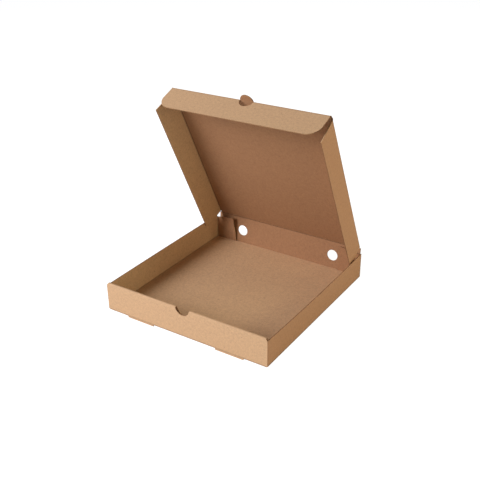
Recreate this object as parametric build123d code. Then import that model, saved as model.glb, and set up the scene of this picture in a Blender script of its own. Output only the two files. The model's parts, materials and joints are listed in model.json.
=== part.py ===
"""Pizza box, folded from one die-cut blank of brown micro-flute board, lid standing open.

The tray is one folded solid: floor, side walls, and a front wall rolled over the front corner
flaps and locked by two tabs in slots of the floor. The rear wall, the lid and the loose flaps
are panels of the same sheet that still turn on their creases, so each is a piece of its own.

Millimetres, +Z up, +Y to the rear. The origin is the centre of the floor's underside.
Every moving panel is drawn where it stands with the box shut, then turned to where it rests.
"""
import os

from build123d import *

os.makedirs("parts", exist_ok=True)

# Board
BOARD = 1.5              # thickness of the corrugated board
BEND_IN = 0.3            # inside radius of a fixed fold
CREASE_GAP = 0.08        # the bead of a crease lies this far under the outer face
CREASE_RUN = 0.05        # a turning board clears its bead by this much more
HINGE_RUN = 0.4          # clearance round the nose of the rear wall's two creases

# Tray
TRAY_W = 330.0           # outside width, left to right
TRAY_D = 344.0           # outside depth, front to rear
SIDE_H = 50.0            # height of the side walls
FRONT_RISE = 4.5         # rolled front wall above the side walls
ROLL_PLAY = 0.1          # play on each side of the corner flap inside the rolled wall
ROLL_END_X = 3.0         # the roll's top is cut back this much at each end
INNER_END_PLAY = 0.6     # inner front wall to side wall
CORNER_FLAP = 45.0       # length of the front corner flaps, trapped in the roll
CORNER_FLAP_LIFT = 2.2   # lower edge of the front corner flaps above the table
NOTCH_R = 14.25          # finger notch in the front wall
NOTCH_RISE = 1.7         # centre of the notch above the front wall's top

# Lock of the rolled front wall
SLOT_IN = 64.5           # slot's inner end from the middle
SLOT_OUT = 121.0         # slot's outer end from the middle
SLOT_BACK = 0.3          # slot's rear edge behind the tab
STRIP_DROP = 2.25        # the front wall's strip hangs this far under the floor
STRIP_SLANT = 2.0        # slanted outer end of that strip
TAB_PLAY = 1.5           # tab to each end of its slot
INNER_LIFT = 0.1         # lower edge of the inner front wall above the floor

# Rear wall
REAR_RISE = 6.8          # rear wall, crease to crease, longer than the side walls are high
REAR_INSET = 5.0         # rear wall's ends inside the tray's outer width
REAR_FOLD_PLAY = 0.2     # floor's rear edge inside the side folds
VENT_R = 11.0            # steam vents
VENT_X = 103.0
VENT_Z = 27.0            # centre of the vents above the floor crease

# Rear corner flaps
REAR_FLAP = 46.6         # length along the lower edge
REAR_FLAP_TOP = 42.5     # length along the upper edge
REAR_FLAP_LIFT = 2.5     # lower edge above the table
REAR_FLAP_DROP = 3.5     # upper edge below the side walls' top, at the crease
REAR_FLAP_RISE = 3.5     # upper edge above the side walls' top, at the free end
REAR_FLAP_PLAY = 0.3     # flap to the upright rear wall

# Lid
LID_INSET = 6.25         # creases of the side flaps inside the tray's outer width
LID_SHORT = 12.8         # lid shorter than the tray's outside depth
LID_FLAP_SHORT = 4.0     # side and front flaps, from the lid's outer face, shorter than the rear wall
LID_SPLAY = 4.8          # side flaps lean out by this angle
LID_FLAP_FRONT = 9.0     # side flap's front end behind the front crease
LID_FLAP_REAR = 3.0      # side flap's rear end in front of the lid crease
LID_FLAP_SLANT = 5.3     # the rear end slopes forward by this much towards the free edge
LID_FLAP_SQUARE = 27.0   # the rear end is square down to here
FRONT_FLAP_INSET = 0.95  # front flap to the side flaps' inner faces
FRONT_FLAP_OUT = 4.0     # the front flap leans out by this angle
FRONT_FLAP_R = 24.0      # free corners of the front flap
CREASE_STOP = 0.2        # a bead ends this far past its flap
FLAP_ROOT = 0.8          # a flap's board starts this far from its crease
THUMB_R = 13.0           # thumb tab, cut out of the front flap
THUMB_PLAY = 0.2
CORNER_CUT = 6.0         # the lid's front corners are cut back from here to the front flap

# Pose in which the box stands
LEAN = 4.9               # rear wall leans back
LID_ANGLE = 59.3         # lid above square to the rear wall

FOLD_OUT = BEND_IN + BOARD
HALF = BOARD / 2
FRONT_H = SIDE_H + FRONT_RISE
REAR_H = SIDE_H + REAR_RISE
REAR_HALF_W = TRAY_W / 2 - REAR_INSET
REAR_FLAP_H = SIDE_H - REAR_FLAP_DROP
REAR_FLAP_PEAK = SIDE_H + REAR_FLAP_RISE
LID_W = TRAY_W - 2 * LID_INSET
LID_L = TRAY_D - LID_SHORT
LID_FLAP = REAR_H - LID_FLAP_SHORT
FRONT_Y = -TRAY_D / 2
ROLL_T = 3 * BOARD + 2 * ROLL_PLAY
INNER_Y = FRONT_Y + ROLL_T
CORNER_Y = FRONT_Y + BOARD + ROLL_PLAY
SIDE_IN = TRAY_W / 2 - BOARD
SIDE_FRONT_Y = CORNER_Y + FOLD_OUT
FLOOR_CREASE = (TRAY_D / 2 - HALF, HALF)
LID_CREASE = (FLOOR_CREASE[0], FLOOR_CREASE[1] + REAR_H)
REAR_FLAP_Y = TRAY_D / 2 - 2 * BOARD - REAR_FLAP_PLAY
LID_IN_Z = LID_CREASE[1] - HALF
LID_IN_X = LID_W / 2 - BOARD
LID_IN_U = LID_L - BOARD
BEAD_R = BOARD - CREASE_GAP
BEAD_RUN = BOARD + CREASE_RUN
BIG = 5.0


def block(x, y, z):
    """Box between two limits along each axis."""
    size = (x[1] - x[0], y[1] - y[0], z[1] - z[0])
    middle = ((x[0] + x[1]) / 2, (y[0] + y[1]) / 2, (z[0] + z[1]) / 2)
    return Pos(*middle) * Box(*size)


def offset_corners(points, shift):
    """Corners of a centre line moved sideways by shift, mitred at each bend."""
    moved = []
    for i, point in enumerate(points):
        before = points[max(i, 1)] - points[max(i, 1) - 1]
        after = points[min(i, len(points) - 2) + 1] - points[min(i, len(points) - 2)]
        mitre = before.normalized() + after.normalized()
        across = Vector(-mitre.Y, mitre.X)
        moved.append(point + across * (2 * shift / across.length ** 2))
    return moved


def board_section(corners):
    """Section of a board bent along a centre line: both faces of each fold are concentric arcs."""
    points = [Vector(*corner) for corner in corners]
    turns = []
    for i in range(1, len(points) - 1):
        turn = (points[i] - points[i - 1]).cross(points[i + 1] - points[i]).Z
        turns.append(turn > 0)
    left_radii = [BEND_IN if turn else FOLD_OUT for turn in turns]
    right_radii = [FOLD_OUT if turn else BEND_IN for turn in turns]
    left = offset_corners(points, HALF)
    right = offset_corners(points, -HALF)
    outline = Curve() + [
        FilletPolyline(*left, radius=left_radii),
        Line(left[-1], right[-1]),
        FilletPolyline(*right, radius=right_radii),
        Line(right[0], left[0]),
    ]
    return make_face(outline)


def along_y(section, start, end):
    """Section drawn in (x, z), extruded from start to end along Y."""
    plane = Plane(origin=(0, end, 0), x_dir=(1, 0, 0), z_dir=(0, -1, 0))
    return extrude(plane * section, amount=end - start)


def along_x(section, start, end):
    """Section drawn in (y, z), extruded from start to end along X."""
    plane = Plane(origin=(start, 0, 0), x_dir=(0, 1, 0), z_dir=(1, 0, 0))
    return extrude(plane * section, amount=end - start)


def along_z(section, start, end):
    """Section drawn in (x, y), extruded from start to end along Z."""
    return extrude(Pos(0, 0, start) * section, amount=end - start)


def rod(start, end, radius):
    """Round bar between two points."""
    direction = Vector(*end) - Vector(*start)
    plane = Plane(origin=start, z_dir=direction)
    return extrude(plane * Circle(radius), amount=direction.length)


def bead(start, end, outward):
    """Half-round outside of a crease whose axis lies on the inner face of the board."""
    direction = Vector(*end) - Vector(*start)
    plane = Plane(origin=start, x_dir=outward, z_dir=direction)
    half_disc = Circle(BEAD_R) & Pos(BEAD_R / 2, 0) * Rectangle(BEAD_R, 2 * BEAD_R)
    return extrude(plane * half_disc, amount=direction.length)


def crease_socket(start, end):
    """Space round a crease that the turning board leaves free."""
    return rod(start, end, BEAD_RUN)


def both_sides(part):
    """The part and its mirror image on the left."""
    return part + mirror(part, about=Plane.YZ)


def floor_and_sides():
    """Floor and the two side walls, folded up along their creases."""
    wall_x = TRAY_W / 2 - HALF
    centre = [(-wall_x, SIDE_H), (-wall_x, HALF), (wall_x, HALF), (wall_x, SIDE_H)]
    return along_y(board_section(centre), SIDE_FRONT_Y, REAR_FLAP_Y)


def rolled_front():
    """Front wall that rises from the floor, rolls over at the top and comes down inside."""
    outer_y = FRONT_Y + HALF
    inner_y = INNER_Y - HALF
    top_z = FRONT_H - HALF
    foot = BOARD + INNER_LIFT
    centre = [(SIDE_FRONT_Y + BIG, HALF), (outer_y, HALF), (outer_y, top_z), (inner_y, top_z), (inner_y, foot)]
    front = along_x(board_section(centre), -TRAY_W / 2, TRAY_W / 2)
    behind_outer = (CORNER_Y - ROLL_PLAY / 2, SIDE_FRONT_Y + 2 * BIG)
    inner_end = block((SIDE_IN - INNER_END_PLAY, TRAY_W), behind_outer, (FOLD_OUT, FRONT_H + BIG))
    corner_relief = block((TRAY_W / 2 - FOLD_OUT, TRAY_W), (FRONT_Y - BIG, SIDE_FRONT_Y + 2 * BIG), (-BIG, FOLD_OUT))
    slope = Polyline(
        (TRAY_W / 2 - ROLL_END_X, FRONT_H),
        (TRAY_W / 2, SIDE_H),
        (TRAY_W / 2 + BIG, SIDE_H),
        (TRAY_W / 2 + BIG, FRONT_H + BIG),
        (TRAY_W / 2 - ROLL_END_X, FRONT_H + BIG),
        close=True,
    )
    roll_end = along_y(make_face(slope), FRONT_Y - BIG, INNER_Y + BIG)
    notch_z = FRONT_H + NOTCH_RISE
    notch = rod((0, FRONT_Y - BIG, notch_z), (0, INNER_Y + BIG, notch_z), NOTCH_R)
    return front - both_sides(inner_end + corner_relief + roll_end) - notch


def front_corner_flap():
    """Right front corner flap, folded from the side wall into the rolled front wall."""
    wall_x = TRAY_W / 2 - HALF
    flap_y = CORNER_Y + HALF
    centre = [(wall_x, SIDE_FRONT_Y + BIG), (wall_x, flap_y), (TRAY_W / 2 - CORNER_FLAP, flap_y)]
    return along_z(board_section(centre), CORNER_FLAP_LIFT, SIDE_H)


def slot():
    """Slot in the floor behind the front wall, right side."""
    rear = INNER_Y + SLOT_BACK
    return block((SLOT_IN, SLOT_OUT), (FRONT_Y + BOARD, rear), (-BIG, FOLD_OUT))


def strip():
    """Part of the front wall cut free from the floor, which hangs below it and shuts the slot."""
    top = FOLD_OUT + HALF
    outline = Polyline(
        (SLOT_IN, top),
        (SLOT_IN, -STRIP_DROP),
        (SLOT_OUT - STRIP_SLANT, -STRIP_DROP),
        (SLOT_OUT, 0),
        (SLOT_OUT, top),
        close=True,
    )
    return along_y(make_face(outline), FRONT_Y, FRONT_Y + BOARD)


def tab():
    """Tab of the inner front wall, standing in the slot, flush with the floor's underside."""
    return block((SLOT_IN + TAB_PLAY, SLOT_OUT - TAB_PLAY), (INNER_Y - BOARD, INNER_Y), (0, FOLD_OUT + BOARD))


def rear_floor_edge():
    """Rear edge of the floor, hollowed for the foot of the rear wall."""
    half_width = TRAY_W / 2 - FOLD_OUT - REAR_FOLD_PLAY
    edge = block((-half_width, half_width), (REAR_FLAP_Y - BIG, FLOOR_CREASE[0]), (0, BOARD))
    ends = [(-TRAY_W, *FLOOR_CREASE), (TRAY_W, *FLOOR_CREASE)]
    return edge - rod(*ends, HALF + HINGE_RUN)


def rear_corner_bead():
    """Crease at the rear end of the right side wall, on which the corner flap turns."""
    return bead((SIDE_IN, REAR_FLAP_Y, REAR_FLAP_LIFT), (SIDE_IN, REAR_FLAP_Y, REAR_FLAP_H), (0, 1, 0))


def tray():
    """Floor, side walls, rolled front wall and the corner flaps it traps, in one folded sheet."""
    sheet = floor_and_sides() + rolled_front() + rear_floor_edge()
    sheet += both_sides(front_corner_flap() + rear_corner_bead())
    return sheet - both_sides(slot()) + both_sides(strip() + tab())


def rear_corner_flap():
    """Right rear corner flap, loose in front of the rear wall, higher towards its sloping free edge."""
    outline = Polyline(
        (SIDE_IN - FLAP_ROOT, REAR_FLAP_LIFT),
        (SIDE_IN - REAR_FLAP, REAR_FLAP_LIFT),
        (SIDE_IN - REAR_FLAP_TOP, REAR_FLAP_PEAK),
        (SIDE_IN - FLAP_ROOT, REAR_FLAP_H),
        close=True,
    )
    flap = along_y(make_face(outline), REAR_FLAP_Y, REAR_FLAP_Y + BOARD)
    return flap - crease_socket((SIDE_IN, REAR_FLAP_Y, -BIG), (SIDE_IN, REAR_FLAP_Y, SIDE_H))


def lean_back(shape):
    """Turn the rear wall, and what it carries, back about the floor crease."""
    return shape.rotate(Axis((0, *FLOOR_CREASE), (-1, 0, 0)), LEAN)


def open_lid(shape):
    """Turn the lid open about its crease, then back with the rear wall."""
    return lean_back(shape.rotate(Axis((0, *LID_CREASE), (-1, 0, 0)), LID_ANGLE))


def rear_wall():
    """Rear wall with two steam vents, round at the foot and hollowed at the top crease."""
    depth = (FLOOR_CREASE[0] - HALF, FLOOR_CREASE[0] + HALF)
    wall = block((-REAR_HALF_W, REAR_HALF_W), depth, (FLOOR_CREASE[1], LID_CREASE[1]))
    wall += rod((-REAR_HALF_W, *FLOOR_CREASE), (REAR_HALF_W, *FLOOR_CREASE), HALF)
    wall -= rod((-TRAY_W, *LID_CREASE), (TRAY_W, *LID_CREASE), HALF + HINGE_RUN)
    vent_z = FLOOR_CREASE[1] + VENT_Z
    vent = rod((VENT_X, depth[0] - BIG, vent_z), (VENT_X, depth[1] + BIG, vent_z), VENT_R)
    return lean_back(wall - both_sides(vent))


def lid_y(along):
    """Place along the lid, counted from the lid crease to the front."""
    return LID_CREASE[0] - along


def lid_panel():
    """Lid, with the thumb tab that stays in its plane and the beads of its three creases."""
    height = (LID_IN_Z, LID_IN_Z + BOARD)
    flap_front = LID_L - LID_FLAP_FRONT
    half_width = LID_W / 2
    front_half = LID_IN_X - FRONT_FLAP_INSET + CREASE_STOP
    panel = block((-LID_IN_X, LID_IN_X), (lid_y(LID_IN_U), lid_y(0)), height)
    panel += rod((-LID_IN_X, *LID_CREASE), (LID_IN_X, *LID_CREASE), HALF)
    outline = Polyline(
        (0, lid_y(flap_front + CREASE_STOP)),
        (half_width, lid_y(flap_front + CREASE_STOP)),
        (half_width, lid_y(LID_L - CORNER_CUT)),
        (front_half, lid_y(LID_L)),
        (front_half, lid_y(LID_IN_U)),
        (0, lid_y(LID_IN_U)),
        close=True,
    )
    corner = along_z(make_face(outline), *height)
    side_bead = bead((LID_IN_X, lid_y(flap_front), LID_IN_Z), (LID_IN_X, lid_y(LID_FLAP_REAR), LID_IN_Z), (1, 0, 0))
    front_bead = bead((THUMB_R, lid_y(LID_IN_U), LID_IN_Z), (front_half, lid_y(LID_IN_U), LID_IN_Z), (0, -1, 0))
    thumb_y = lid_y(LID_L - HALF)
    thumb = Pos(0, thumb_y) * Circle(THUMB_R) & Pos(0, thumb_y - THUMB_R) * Rectangle(2 * THUMB_R, 2 * THUMB_R)
    thumb += Pos(0, thumb_y) * Rectangle(2 * THUMB_R, 2 * BOARD)
    return open_lid(panel + both_sides(corner + side_bead + front_bead) + along_z(thumb, *height))


def lid_side_flap():
    """Right side flap of the lid, leaning out, its rear end sloping towards the free edge."""
    free_z = LID_IN_Z + BOARD - LID_FLAP
    front = lid_y(LID_L - LID_FLAP_FRONT)
    rear = lid_y(LID_FLAP_REAR)
    outline = Polyline(
        (front, LID_IN_Z - FLAP_ROOT),
        (front, free_z),
        (rear - LID_FLAP_SLANT, free_z),
        (rear, LID_IN_Z - LID_FLAP_SQUARE),
        (rear, LID_IN_Z - FLAP_ROOT),
        close=True,
    )
    flap = along_x(make_face(outline), LID_IN_X, LID_IN_X + BOARD)
    flap = flap.rotate(Axis((LID_IN_X, 0, LID_IN_Z), (0, -1, 0)), LID_SPLAY)
    return flap - crease_socket((LID_IN_X, lid_y(-BIG), LID_IN_Z), (LID_IN_X, lid_y(LID_L), LID_IN_Z))


def lid_front_flap():
    """Front flap of the lid with rounded free corners and the half-round left by the thumb tab."""
    half_width = LID_IN_X - FRONT_FLAP_INSET
    top = LID_IN_Z - FLAP_ROOT
    free_z = LID_IN_Z + BOARD - LID_FLAP
    corners = [(-half_width, top), (-half_width, free_z), (half_width, free_z), (half_width, top)]
    edge = FilletPolyline(*corners, radius=FRONT_FLAP_R)
    outline = make_face(Curve() + [edge, Line(corners[-1], corners[0])])
    outline -= Pos(0, LID_IN_Z - HALF) * Circle(THUMB_R + THUMB_PLAY)
    fold_y = lid_y(LID_IN_U)
    flap = along_y(outline, fold_y - BOARD, fold_y)
    flap = flap.rotate(Axis((0, fold_y, LID_IN_Z), (-1, 0, 0)), FRONT_FLAP_OUT)
    return open_lid(flap - crease_socket((-LID_W, fold_y, LID_IN_Z), (LID_W, fold_y, LID_IN_Z)))


def left_of(part):
    """The same piece on the left side."""
    return mirror(part, about=Plane.YZ)


right_lid_flap = open_lid(lid_side_flap())
right_corner_flap = rear_corner_flap()
pieces = {
    "tray": tray(),
    "rear_wall": rear_wall(),
    "lid_panel": lid_panel(),
    "lid_front_flap": lid_front_flap(),
    "lid_right_flap": right_lid_flap,
    "lid_left_flap": left_of(right_lid_flap),
    "rear_right_corner_flap": right_corner_flap,
    "rear_left_corner_flap": left_of(right_corner_flap),
}
for name, piece in pieces.items():
    export_step(piece, f"parts/{name}.step")
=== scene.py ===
# %% [markdown]
# # A pizza box of kraft board
#
# The object is one die-cut sheet of micro-flute corrugated board, folded into a tray with a lid and left open.
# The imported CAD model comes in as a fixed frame: it holds every panel at its real size and place, and each moving
# panel hangs on a body of its own. This lesson turns those plain panels into board, with liners of two shades,
# fluted cut edges, scored creases and walls that bow a little, and then lights and frames them.

# %% Load the frame
import json
import math

import bmesh
import bpy
from mathutils import Matrix, Vector
from mathutils.bvhtree import BVHTree


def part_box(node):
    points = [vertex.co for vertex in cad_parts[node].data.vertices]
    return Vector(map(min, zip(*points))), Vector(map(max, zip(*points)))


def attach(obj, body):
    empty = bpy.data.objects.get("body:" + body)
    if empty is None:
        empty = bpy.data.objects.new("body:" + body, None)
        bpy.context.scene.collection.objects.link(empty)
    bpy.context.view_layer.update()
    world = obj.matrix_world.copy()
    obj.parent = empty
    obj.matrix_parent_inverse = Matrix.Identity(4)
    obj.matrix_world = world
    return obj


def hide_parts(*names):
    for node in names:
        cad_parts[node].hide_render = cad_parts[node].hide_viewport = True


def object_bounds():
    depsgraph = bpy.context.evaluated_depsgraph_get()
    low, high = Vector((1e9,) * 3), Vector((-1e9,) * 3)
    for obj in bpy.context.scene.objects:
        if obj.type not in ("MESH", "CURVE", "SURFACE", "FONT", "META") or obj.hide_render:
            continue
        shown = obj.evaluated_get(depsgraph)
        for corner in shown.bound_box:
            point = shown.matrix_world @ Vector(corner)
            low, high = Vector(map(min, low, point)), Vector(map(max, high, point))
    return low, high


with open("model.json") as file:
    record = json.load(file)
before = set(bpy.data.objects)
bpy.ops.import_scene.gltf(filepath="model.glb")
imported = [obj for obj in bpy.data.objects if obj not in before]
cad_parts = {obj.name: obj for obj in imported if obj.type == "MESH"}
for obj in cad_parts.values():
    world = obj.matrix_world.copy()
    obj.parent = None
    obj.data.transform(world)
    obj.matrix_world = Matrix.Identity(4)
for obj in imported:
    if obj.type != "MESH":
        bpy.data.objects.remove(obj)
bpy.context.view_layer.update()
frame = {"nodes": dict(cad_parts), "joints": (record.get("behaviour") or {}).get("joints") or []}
MM = 0.001  # one millimetre, in Blender's metres
print("CAD nodes:", sorted(frame["nodes"]))

# %% [markdown]
# ## The camera
#
# The photograph was taken from the right and a little above, with a long lens, so parallel edges stay nearly
# parallel. The camera could be placed by eye. Here its place and focal length come from a fit of the known corners
# of the box to their places in the picture, so that every panel falls where it is seen.

# %% Camera
AZIMUTH, ELEVATION, ROLL = (math.radians(a) for a in (33.37, 27.02, -0.76))
CAMERA_AT = Vector((672.9, -1016.4, 729.8)) * MM
FOCAL_MM, SENSOR_MM = 57.45, 36

lens = bpy.data.cameras.new("camera")
lens.lens = FOCAL_MM
lens.sensor_width = SENSOR_MM
camera = bpy.data.objects.new("camera", lens)
turn = (Matrix.Rotation(AZIMUTH, 4, "Z") @ Matrix.Rotation(math.pi / 2 - ELEVATION, 4, "X")
        @ Matrix.Rotation(ROLL, 4, "Z"))
camera.matrix_world = Matrix.Translation(CAMERA_AT) @ turn
bpy.context.scene.collection.objects.link(camera)
bpy.context.scene.camera = camera
print("camera at", tuple(round(c, 3) for c in camera.location))

# %% [markdown]
# ## Helpers for the finishes
#
# Colours are written as the hex values that a colour picker shows. Those are sRGB, and Blender's sockets want linear
# light, so one function turns one into the other. Another adds a node together with its settings and its links,
# which keeps each material short enough to read from top to bottom.

# %% Colour, node and material helpers
MIX_A, MIX_B, MIX_OUT = 6, 7, 2  # the numbers of a Mix node's two colours and of its mixed colour


def linear(hex_colour):
    """An sRGB hex colour as the linear RGBA that a socket takes."""
    values = [int(hex_colour[i:i + 2], 16) / 255 for i in (1, 3, 5)]
    return tuple(v / 12.92 if v <= 0.04045 else ((v + 0.055) / 1.055) ** 2.4 for v in values) + (1.0,)


def add(tree, kind, sockets=None, **settings):
    """A new node: sockets maps an input's name or number to a value or to the output that feeds it."""
    node = tree.nodes.new(kind)
    for name, value in settings.items():
        setattr(node, name, value)
    for key, value in (sockets or {}).items():
        if isinstance(value, bpy.types.NodeSocket):
            tree.links.new(value, node.inputs[key])
        else:
            node.inputs[key].default_value = value
    return node


def new_material(name):
    """A material, its node tree, and the shader that is in it from the start."""
    material = bpy.data.materials.new(name)
    material.use_nodes = True
    return material, material.node_tree, material.node_tree.nodes["Principled BSDF"]


print("kraft brown in linear light:", tuple(round(c, 3) for c in linear("#c69c6d")))

# %% [markdown]
# ## Kraft liner
#
# The two faces of the board are unbleached kraft paper, made on a wire from long brown fibres. Paper like this is
# matt, with a cloudy unevenness of about half a centimetre, fine fibres that lie along the flutes, and a few dark
# specks of bark. Behind the thin paper the flutes show through as very faint stripes, a washboard, 3.3 mm apart.
# The patterns could run on the object's own axes, but then they would cross the flutes on the side walls, so each
# panel carries an attribute named board instead: millimetres across the flutes, along them, and through the board.
# A second attribute, score, holds the distances from up to three fold lines. There the creasing rule has crushed the
# board, and a darker line is painted along it: partly the crushed paper, and partly painted shade in the crease. The
# inside liner is the darker of the two, and its painted lines are stronger.

# %% Kraft liner material
FLUTE_PITCH = 3.3  # mm, micro flute
CLOUD_SIZE = 4.5  # mm
FIBRE_WIDTH, FIBRE_LENGTH = 1.1, 3.2  # mm, coarser than real fibres so that they show
CLOUD_SHARE, FIBRE_SHARE, STRIPE_SHARE = 0.42, 0.55, 0.012  # how much each pattern adds to the shade
DARK_AT, COLOUR_AT, LIGHT_AT = 0.30, 0.49, 0.68  # the shades at which the paper has its three colours
SPECK_SPACING = 13.0  # mm
SPECK_CORE, SPECK_RIM = 0.04, 0.09  # radii, as shares of the spacing
BARK, BARK_SHOWS = "#6b4728", 0.45
SCORE_CORE, SCORE_EDGE = 1.1, 2.2  # mm from the fold line: fully dark, no longer dark
NO_SCORE = 99.0  # mm, a distance at which nothing is dark
# the colour of the fold lines: crushed paper, and painted shade in the crease
CRUSHED_AND_SHADED = "#563920"
RELIEF_MM, RELIEF_STRENGTH, FLUTE_RELIEF = 0.04, 0.35, 0.25  # the last is the flutes' height against the fibres'
KRAFT_ROUGHNESS, KRAFT_SPECULAR = 0.78, 0.35


def flute_wave(tree, place):
    """A wave across the flutes, from -1 to 1, with one period to a flute."""
    across = add(tree, "ShaderNodeSeparateXYZ", {0: place}).outputs["X"]
    phase = add(tree, "ShaderNodeMath", {0: across, 1: 2 * math.pi / FLUTE_PITCH}, operation="MULTIPLY")
    return add(tree, "ShaderNodeMath", {0: phase.outputs[0]}, operation="SINE").outputs[0]


def kraft_liner(name, colour, dark, light, crush_and_shade_depth):
    material, tree, shader = new_material(name)
    place = add(tree, "ShaderNodeAttribute", attribute_name="board").outputs["Vector"]

    cloud = add(tree, "ShaderNodeTexNoise",
                {"Vector": place, "Scale": 1 / CLOUD_SIZE, "Detail": 3.0, "Roughness": 0.6})
    along = add(tree, "ShaderNodeVectorMath", {0: place, 1: (1 / FIBRE_WIDTH, 1 / FIBRE_LENGTH, 1.0)},
                operation="MULTIPLY")
    fibre = add(tree, "ShaderNodeTexNoise",
                {"Vector": along.outputs[0], "Scale": 1.0, "Detail": 3.0, "Roughness": 0.65})
    stripe = flute_wave(tree, place)

    blotch = add(tree, "ShaderNodeMath", {0: cloud.outputs["Fac"], 1: CLOUD_SHARE}, operation="MULTIPLY")
    mixed = add(tree, "ShaderNodeMath", {0: fibre.outputs["Fac"], 1: FIBRE_SHARE, 2: blotch.outputs[0]},
                operation="MULTIPLY_ADD")
    shade = add(tree, "ShaderNodeMath", {0: stripe, 1: STRIPE_SHARE, 2: mixed.outputs[0]},
                operation="MULTIPLY_ADD")
    ramp = add(tree, "ShaderNodeValToRGB", {"Fac": shade.outputs[0]})
    ramp.color_ramp.elements[0].position = DARK_AT
    ramp.color_ramp.elements[0].color = linear(dark)
    ramp.color_ramp.elements[1].position = LIGHT_AT
    ramp.color_ramp.elements[1].color = linear(light)
    ramp.color_ramp.elements.new(COLOUR_AT).color = linear(colour)

    grit = add(tree, "ShaderNodeTexVoronoi", {"Vector": place, "Scale": 1 / SPECK_SPACING, "Randomness": 1.0})
    speck = add(tree, "ShaderNodeMapRange", {"Value": grit.outputs["Distance"], "From Min": SPECK_CORE,
                                             "From Max": SPECK_RIM, "To Min": BARK_SHOWS, "To Max": 0.0})
    specked = add(tree, "ShaderNodeMix",
                  {"Factor": speck.outputs[0], MIX_A: ramp.outputs["Color"], MIX_B: linear(BARK)},
                  data_type="RGBA")

    # darker near each fold line: the crushed paper, and painted shade in the crease
    from_folds = add(tree, "ShaderNodeAttribute", attribute_name="score").outputs["Vector"]
    distances = add(tree, "ShaderNodeVectorMath", {0: from_folds}, operation="ABSOLUTE")
    apart = add(tree, "ShaderNodeSeparateXYZ", {0: distances.outputs[0]})
    nearer = add(tree, "ShaderNodeMath", {0: apart.outputs["X"], 1: apart.outputs["Y"]}, operation="MINIMUM")
    nearest = add(tree, "ShaderNodeMath", {0: nearer.outputs[0], 1: apart.outputs["Z"]}, operation="MINIMUM")
    crease_darkness = add(tree, "ShaderNodeMapRange", {"Value": nearest.outputs[0], "From Min": SCORE_CORE,
                                               "From Max": SCORE_EDGE, "To Min": crush_and_shade_depth, "To Max": 0.0})
    with_crease_darkness = add(tree, "ShaderNodeMix",
                 {"Factor": crease_darkness.outputs[0], MIX_A: specked.outputs[MIX_OUT], MIX_B: linear(CRUSHED_AND_SHADED)},
                 data_type="RGBA")
    tree.links.new(with_crease_darkness.outputs[MIX_OUT], shader.inputs["Base Color"])

    relief = add(tree, "ShaderNodeMath", {0: stripe, 1: FLUTE_RELIEF, 2: fibre.outputs["Fac"]},
                 operation="MULTIPLY_ADD")
    bump = add(tree, "ShaderNodeBump",
               {"Height": relief.outputs[0], "Strength": RELIEF_STRENGTH, "Distance": RELIEF_MM * MM})
    tree.links.new(bump.outputs["Normal"], shader.inputs["Normal"])
    shader.inputs["Roughness"].default_value = KRAFT_ROUGHNESS
    shader.inputs["Specular IOR Level"].default_value = KRAFT_SPECULAR
    return material


liner_outside = kraft_liner("kraft_liner_outside", "#bb9369", "#a7835d", "#c99e71", 0.3)
liner_inside = kraft_liner("kraft_liner_inside", "#946843", "#855d3b", "#9f7048", 0.75)
print("liners:", liner_outside.name, liner_inside.name)

# %% [markdown]
# ## The cut edge
#
# Where the die has cut the board, its build shows: two thin liners and between them the wavy fluting paper, with
# shadow in the hollows. It could be modelled wave by wave, about 200 000 faces that no one would see from here, so
# it is drawn in the edge's material: paper where the point lies near a liner or near the wave, shadow elsewhere.
# The wave runs across the flutes. An edge that is cut along them looks into one long hollow between two waves, so it
# reads as a dark line of shade, and that shade is painted into a darker edge material of its own. Cut paper is
# rougher than its face.

# %% Cut edge material
BOARD = 1.5  # mm
LINER_T = 0.28  # mm, liner and wave paper as they show, a little thick so that they do
FADE = 0.3  # share of that thickness over which the paper fades into the hollow
EDGE_RELIEF_MM, EDGE_RELIEF_STRENGTH = 0.3, 0.5
EDGE_ROUGHNESS, EDGE_SPECULAR = 0.9, 0.2


def cut_edge(name, paper, hollow):
    material, tree, shader = new_material(name)
    place = add(tree, "ShaderNodeAttribute", attribute_name="board").outputs["Vector"]
    wave = flute_wave(tree, place)
    through = add(tree, "ShaderNodeSeparateXYZ", {0: place}).outputs["Z"]
    middle = add(tree, "ShaderNodeMath", {0: through, 1: BOARD / 2}, operation="SUBTRACT")
    swing = add(tree, "ShaderNodeMath", {0: wave, 1: -(BOARD / 2 - LINER_T), 2: middle.outputs[0]},
                operation="MULTIPLY_ADD")
    to_wave = add(tree, "ShaderNodeMath", {0: swing.outputs[0]}, operation="ABSOLUTE")
    on_wave = add(tree, "ShaderNodeMapRange",
                  {"Value": to_wave.outputs[0], "From Min": LINER_T * (1 - FADE),
                   "From Max": LINER_T * (1 + FADE), "To Min": 1.0, "To Max": 0.0})
    off_middle = add(tree, "ShaderNodeMath", {0: middle.outputs[0]}, operation="ABSOLUTE")
    on_liner = add(tree, "ShaderNodeMapRange",
                   {"Value": off_middle.outputs[0], "From Min": BOARD / 2 - LINER_T,
                    "From Max": BOARD / 2 - LINER_T * (1 - FADE), "To Min": 0.0, "To Max": 1.0})
    paper_here = add(tree, "ShaderNodeMath", {0: on_wave.outputs[0], 1: on_liner.outputs[0]}, operation="MAXIMUM")
    tone = add(tree, "ShaderNodeMix",
               {"Factor": paper_here.outputs[0], MIX_A: linear(hollow), MIX_B: linear(paper)}, data_type="RGBA")
    tree.links.new(tone.outputs[MIX_OUT], shader.inputs["Base Color"])
    bump = add(tree, "ShaderNodeBump",
               {"Height": paper_here.outputs[0], "Strength": EDGE_RELIEF_STRENGTH, "Distance": EDGE_RELIEF_MM * MM})
    tree.links.new(bump.outputs["Normal"], shader.inputs["Normal"])
    shader.inputs["Roughness"].default_value = EDGE_ROUGHNESS
    shader.inputs["Specular IOR Level"].default_value = EDGE_SPECULAR
    return material


edge_across = cut_edge("cut_edge_across_flutes", "#b58d63", "#6f4d30")
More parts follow.
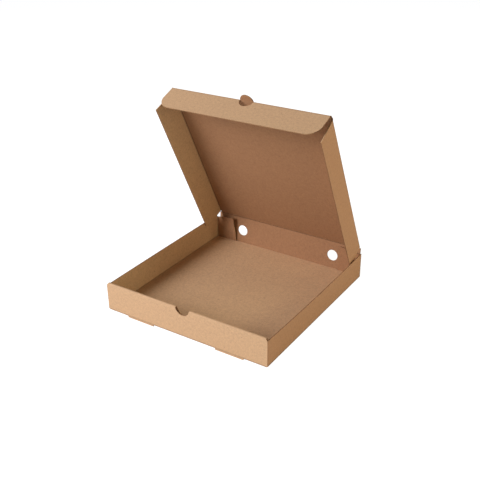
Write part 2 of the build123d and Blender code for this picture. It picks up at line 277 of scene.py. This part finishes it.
# painted shade: an edge cut along the flutes looks into the shaded hollow between two waves
edge_along = cut_edge("cut_edge_along_flutes", "#80593a", "#422b19")
print("edges:", edge_across.name, edge_along.name)

# %% [markdown]
# ## The panels of the sheet
#
# On the flat sheet, one direction runs across the flutes and one along them. Folding turns these directions with
# each panel. They could be drawn by hand as texture coordinates, but a few numbers say the same: a point on the
# panel's outside face and the two directions. From them come the millimetres and fold distances at every corner.

# %% Panels
class Panel:
    """A flat part of the sheet: a point on its outside face, the directions across and along the flutes, a test of
    a face's middle in mm that says whether the face belongs to it, and its fold lines, each as a point and the
    direction in which the panel leaves it."""

    def __init__(self, at, across, along, holds=lambda c: True, folds=()):
        self.at = Vector(at) * MM
        self.across, self.along = Vector(across).normalized(), Vector(along).normalized()
        self.inward = self.across.cross(self.along)
        self.holds = holds
        self.folds = [(Vector(point), Vector(way)) for point, way in folds]

    def place(self, point):
        """Millimetres across the flutes, along them, and inward from the outside face."""
        p = (point - self.at) / MM
        return Vector((p.dot(self.across), p.dot(self.along), p.dot(self.inward)))

    def score(self, point):
        """Signed distances from the fold lines, which a face can blend between its corners without error."""
        apart = [(point / MM - at).dot(way) for at, way in self.folds]
        return Vector((apart + [NO_SCORE] * 3)[:3])


print("board:", BOARD, "mm thick, flutes", FLUTE_PITCH, "mm apart")

# %% [markdown]
# ## From CAD panels to board
#
# The CAD panels already have their true outline, holes and creases. A new mesh is made from each: the corners that
# the file split are joined again, and panels that bow are cut across every centimetre or so, because only a face
# with corners along its length can bow. Each face then gets its finish. A ray sent back into the board tells which:
# if it comes out after one board thickness, the face is a liner, and if it runs on through the panel, the face is a
# cut edge.

# %% Board pieces
OUTSIDE, INSIDE, EDGE_ACROSS, EDGE_ALONG = range(4)  # the finishes' places in a piece's material list
STEP = 12 * MM  # spacing of the cuts that let a panel bow
LAST_STEP = 0.2 * STEP  # a cut nearer than this to the end of a panel is left out
ON_CUT = 0.001 * MM  # corners this close to a cut lie on it
SAME_CORNER = 0.002 * MM  # corners this close together are one
SAME_FACE = math.radians(0.3)  # faces that meet at less than this are one
SHARP_EDGE = math.radians(25)
SKIN = 0.01 * MM  # how far inside its face the ray starts
ONE_BOARD = 1.35 * BOARD * MM  # the longest way through the material that still counts as the thickness
SIDEWAYS, ENDWAYS = 0.3, 0.7  # cosines: below, a face stands across the panel; above, it looks along the flutes


def board_mesh(node, cuts):
    """The CAD mesh of a node, mended and cut square to the axes numbered in cuts."""
    work = bmesh.new()
    work.from_mesh(frame["nodes"][node].data)
    bmesh.ops.remove_doubles(work, verts=work.verts, dist=SAME_CORNER)
    bmesh.ops.dissolve_limit(work, angle_limit=SAME_FACE, verts=work.verts, edges=work.edges)
    low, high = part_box(node)
    for axis in cuts:
        at = low[axis] + STEP
        way = Vector([float(axis == i) for i in range(3)])
        while at < high[axis] - LAST_STEP:
            bmesh.ops.bisect_plane(work, geom=work.verts[:] + work.edges[:] + work.faces[:], dist=ON_CUT,
                                   plane_co=way * at, plane_no=way)
            at += STEP
    bmesh.ops.triangulate(work, faces=[f for f in work.faces if len(f.verts) > 4])
    mesh = bpy.data.meshes.new(node + "_board")
    work.to_mesh(mesh)
    work.free()
    return mesh


def finish_faces(mesh, panels):
    """Gives each face its material and each corner its two attributes, and counts the faces of each finish."""
    for material in (liner_outside, liner_inside, edge_across, edge_along):
        mesh.materials.append(material)
    tree = BVHTree.FromPolygons([v.co for v in mesh.vertices], [p.vertices for p in mesh.polygons])
    where = mesh.attributes.new("board", "FLOAT_VECTOR", "CORNER")
    score = mesh.attributes.new("score", "FLOAT_VECTOR", "CORNER")
    counts = [0, 0, 0, 0]
    for face in mesh.polygons:
        panel = next(p for p in panels if p.holds(face.center / MM))
        back = tree.ray_cast(face.center - face.normal * SKIN, -face.normal)[3]
        facing = face.normal.dot(panel.inward)
        if abs(facing) < SIDEWAYS and (back is None or back > ONE_BOARD):
            finish = EDGE_ACROSS if abs(face.normal.dot(panel.along)) > ENDWAYS else EDGE_ALONG
        else:
            finish = INSIDE if facing > 0 else OUTSIDE
        face.material_index = finish
        counts[finish] += 1
        face.use_smooth = True
        for corner in face.loop_indices:
            point = mesh.vertices[mesh.loops[corner].vertex_index].co
            where.data[corner].vector = panel.place(point)
            score.data[corner].vector = panel.score(point)
    mesh.set_sharp_from_angle(angle=SHARP_EDGE)
    return counts


def board_piece(node, body, panels, cuts=()):
    """The board that takes the place of one CAD node and moves with its body."""
    mesh = board_mesh(node, cuts)
    counts = finish_faces(mesh, panels)
    piece = bpy.data.objects.new(node + "_board", mesh)
    bpy.context.scene.collection.objects.link(piece)
    flat = piece.modifiers.new("flat_faces_stay_flat", "WEIGHTED_NORMAL")
    flat.keep_sharp = True
    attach(piece, body)
    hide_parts(node)
    print(f"{piece.name}: {len(mesh.polygons)} faces, outside/inside/edges {counts}")
    return piece


# %% [markdown]
# ## The tray
#
# Floor, two side walls and the rolled front wall are one piece. The outside liner goes up the front wall, over the
# roll and down its inner side, so the inner front wall shows the outside face. The flutes run from front to back:
# upright on the front wall, level on the side walls.

# %% Tray
X, Y, Z = Vector((1, 0, 0)), Vector((0, 1, 0)), Vector((0, 0, 1))
WALL_X, FRONT_Y, INNER_Y = 165.0, -172.0, -167.3  # mm, faces of the side walls, front wall and inner front wall
SIDE_X, FLOOR_TOP = 163.4, 1.6  # mm, what lies further out and higher belongs to a side wall
FRONT_DEEP = 2.2  # mm, how far back the outer front wall and its share of the roll reach
NEAR = 0.1  # mm, a point this close to a height or face counts as on it

joint_at = {j["name"]: Vector(j["pos_m"]) / MM for j in frame["joints"]}
right_crease, left_crease = (joint_at[f"{side}_corner_flap_fold"] for side in ("right", "left"))
foot = ((0, 0, BOARD), Z)
wall_folds = (foot, (right_crease, Y))
floor_folds = ((right_crease, X), (left_crease, X))

tray = board_piece("tray", "tray", [
    Panel((WALL_X, 0, 0), -Z, Y, lambda c: c.x > SIDE_X and c.z > FLOOR_TOP, wall_folds),
    Panel((-WALL_X, 0, 0), Z, Y, lambda c: c.x < -SIDE_X and c.z > FLOOR_TOP, wall_folds),
    Panel((0, FRONT_Y, 0), X, -Z, lambda c: c.y < FRONT_Y + FRONT_DEEP, (foot,)),
    Panel((0, INNER_Y, 0), X, Z, lambda c: c.y < INNER_Y + NEAR and c.z > FLOOR_TOP),
    Panel((0, 0, 0), -X, Y, folds=floor_folds),
], cuts=(1, 2))

# %% [markdown]
# ## The rear wall, the lid and the flaps
#
# The lid stands at 64 degrees from shut and the rear wall leans back by 5 degrees. Each panel's directions follow
# from those two angles, the flare of the side flaps and the outward swing of the front flap.

# %% Rear wall, lid and flaps
LEAN, LID_OPEN, SIDE_FLARE, FRONT_SWING = (math.radians(a) for a in (4.9, 64.2, 4.8, 4.0))


def turned(start, end, angle):
    """The direction start, turned by an angle towards the direction end, which is square to it."""
    return start * math.cos(angle) + end * math.sin(angle)


wall_up, wall_out = turned(Z, Y, LEAN), turned(Y, -Z, LEAN)
lid_along = turned(-Y, Z, LID_OPEN)
lid_out = lid_along.cross(X)
print("lid runs along", tuple(round(c, 3) for c in lid_along), "and faces", tuple(round(c, 3) for c in lid_out))

hinge = joint_at["lid_hinge"]
board_piece("rear_wall", "rear_wall",
            [Panel(hinge + wall_out * BOARD / 2, X, wall_up, folds=((hinge, wall_up),))])
lid_folds = [(joint_at[f"{side}_flap_fold"], X) for side in ("left", "right")]
board_piece("lid_panel", "lid",
            [Panel(hinge + lid_out * BOARD / 2, X, lid_along, folds=lid_folds)])

fold = joint_at["front_flap_fold"]
hang, face_way = turned(-lid_out, lid_along, FRONT_SWING), turned(lid_along, lid_out, FRONT_SWING)
board_piece("lid_front_flap", "front_flap",
            [Panel(fold + face_way * BOARD, X, hang, folds=((fold, hang),))])

for name, side in (("right", 1), ("left", -1)):
    fold = joint_at[f"{name}_flap_fold"]
    hang, face_way = turned(-lid_out, X * side, SIDE_FLARE), turned(X * side, lid_out, SIDE_FLARE)
    board_piece(f"lid_{name}_flap", f"{name}_flap",
                [Panel(fold + face_way * BOARD, hang * -side, lid_along, folds=((fold, hang),))])

corner_flaps = {}
for name, crease in (("right", right_crease), ("left", left_crease)):
    corner_flaps[name] = board_piece(
        f"rear_{name}_corner_flap", f"{name}_corner_flap",
        [Panel(crease + BOARD * Y, -Z, X, folds=((crease, X),))], cuts=(0, 2))

# %% [markdown]
# ## Bowed walls and a twisted flap
#
# Board that has been folded and shipped flat is never quite straight again. In the photograph the right side wall
# stands out by a couple of millimetres halfway along its top, where nothing holds it. The left corner flap stands
# off the rear wall, most at its free upper corner, and throws a dark wedge of shadow behind it. Its bend grows with
# the fourth power of the distance from the crease: bent sooner, the flap would cut into the lid's flap when it turns.

# %% Bow and twist
TRAY_HALF_DEPTH, WALL_H = 172.0, 50.0  # mm
BOW = {1: 2.3, -1: 0.6}  # mm, outwards at the middle of the top, for the right wall and the left
BOW_POWER, TWIST_POWER = 1.5, 4  # how late the bow starts above the foot, and the bend beyond the crease
TWIST, LIFT = 7.0, 1.5  # mm, how far the left corner flap's free upper corner comes forward and up
FLAP_LONG, FLAP_FOOT, FLAP_HIGH = 46.0, 2.5, 51.0  # mm: the flap's length, the level of its foot, and its height
FOOT_DROP = 0.9  # mm, how much further the corner flaps and their creases reach down, to the floor
CREASE_X, CREASE_Y = 161.5, 166.0  # mm, the tray's part of those creases lies beyond both

for side, amount in BOW.items():
    for v in tray.data.vertices:
        x, y, z = v.co / MM
        if x * side > SIDE_X and z > 0:
            along = max(0.0, 1 - (y / TRAY_HALF_DEPTH) ** 2)
            v.co.x += side * amount * MM * along * min(1.0, z / WALL_H) ** BOW_POWER

for v in corner_flaps["left"].data.vertices:
    out, up = (v.co.x / MM - left_crease.x) / FLAP_LONG, (v.co.z / MM - FLAP_FOOT) / FLAP_HIGH
    bend = max(0.0, out) ** TWIST_POWER * max(0.0, up)
    v.co += Vector((0, -TWIST, LIFT)) * MM * bend

for piece in (tray, *corner_flaps.values()):
    for v in piece.data.vertices:
        x, y, z = v.co / MM
        if abs(z - FLAP_FOOT) < NEAR and y > CREASE_Y and (piece is not tray or abs(x) > CREASE_X):
            v.co.z -= FOOT_DROP * MM

tray_x = [v.co.x / MM for v in tray.data.vertices]
print("tray is now", round(max(tray_x) - min(tray_x), 1), "mm wide")

# %% [markdown]
# ## Table and light
#
# The box stands on a plain white table under soft light: a broad, slightly cool lamp from the left front, which makes
# the front wall the lightest face and leaves the left wall's inner side in shade, and two weaker, warmer ones from
# the right and the right rear. The background is the world's white. Only the camera and reflections see it, so it
# adds no light of its own to the object. The table does the same: seen directly it glows a little below white and
# adds the lamps' light on top, so it comes out white wherever the lamps reach it and keeps a faint shadow where they
# don't. To all other rays it is a matt, nearly white top that throws some light back up at the box.

# %% Table
TABLE_SIZE = 12  # m
TABLE_GLOW, TABLE_GREY = 0.95, 0.3  # seen directly: its own light, and how much of the lamps' light it adds
TABLE_ROUGHNESS = 0.9
WHITE = (1, 1, 1, 1)


def seen_directly(tree):
    """1 for rays that see a surface, from the camera or by way of a reflection or glass, and 0 for all others."""
    ray = add(tree, "ShaderNodeLightPath")
    seen = add(tree, "ShaderNodeMath", {0: ray.outputs["Is Camera Ray"], 1: ray.outputs["Is Glossy Ray"]},
               operation="MAXIMUM")
    seen = add(tree, "ShaderNodeMath", {0: seen.outputs[0], 1: ray.outputs["Is Transmission Ray"]},
               operation="MAXIMUM")
    return seen.outputs[0]


FLOOR_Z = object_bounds()[0][2]
bpy.ops.mesh.primitive_plane_add(size=TABLE_SIZE, location=(0, 0, FLOOR_Z))
table = bpy.context.object
table.name = "table"
table_paint, tree, matt = new_material("white_table")
matt.inputs["Base Color"].default_value = linear("#e9e8e6")
matt.inputs["Roughness"].default_value = TABLE_ROUGHNESS
glow = add(tree, "ShaderNodeEmission", {"Color": WHITE, "Strength": TABLE_GLOW})
shadow_catcher = add(tree, "ShaderNodeBsdfDiffuse", {"Color": (TABLE_GREY, TABLE_GREY, TABLE_GREY, 1)})
paper_white = add(tree, "ShaderNodeAddShader", {0: glow.outputs[0], 1: shadow_catcher.outputs[0]})
either = add(tree, "ShaderNodeMixShader", {0: seen_directly(tree), 1: matt.outputs[0], 2: paper_white.outputs[0]})
tree.links.new(either.outputs[0], tree.nodes["Material Output"].inputs["Surface"])
table.data.materials.append(table_paint)
print("table at", round(FLOOR_Z / MM, 2), "mm")

# %% Lamps and world
LAMPS_FACE = Vector((0, 0, 0.12))  # m, about the middle of the box
LAMP_DISTANCE, LAMP_SIZE = 2.6, 1.6  # m
WORLD_LEVEL = 0.02  # the world's light on the box


def soft_lamp(name, azimuth, elevation, watts, colour):
    """A round lamp turned to the box, at an angle from the front towards the right, and one above the table."""
    data = bpy.data.lights.new(name, "AREA")
    data.shape = "DISK"
    data.size = LAMP_SIZE
    data.energy = watts
    data.color = linear(colour)[:3]
    lamp = bpy.data.objects.new(name, data)
    a, e = math.radians(azimuth), math.radians(elevation)
    way = Vector((math.sin(a) * math.cos(e), -math.cos(a) * math.cos(e), math.sin(e)))
    facing_box = way.to_track_quat("Z", "Y").to_matrix().to_4x4()
    lamp.matrix_world = Matrix.Translation(LAMPS_FACE + way * LAMP_DISTANCE) @ facing_box
    bpy.context.scene.collection.objects.link(lamp)


soft_lamp("key_lamp", -34, 30, 110, "#e6ecff")
soft_lamp("right_lamp", 72, 12, 21, "#faffee")
soft_lamp("rear_right_lamp", 125, 15, 43, "#fefde9")

world = bpy.data.worlds.new("studio")
bpy.context.scene.world = world
world.use_nodes = True
tree = world.node_tree
background = tree.nodes["Background"]
level = add(tree, "ShaderNodeMapRange", {"Value": seen_directly(tree), "To Min": WORLD_LEVEL, "To Max": 1.0})
tree.links.new(level.outputs[0], background.inputs["Strength"])
background.inputs["Color"].default_value = WHITE

# %% View settings
bpy.context.scene.view_settings.view_transform = "Standard"
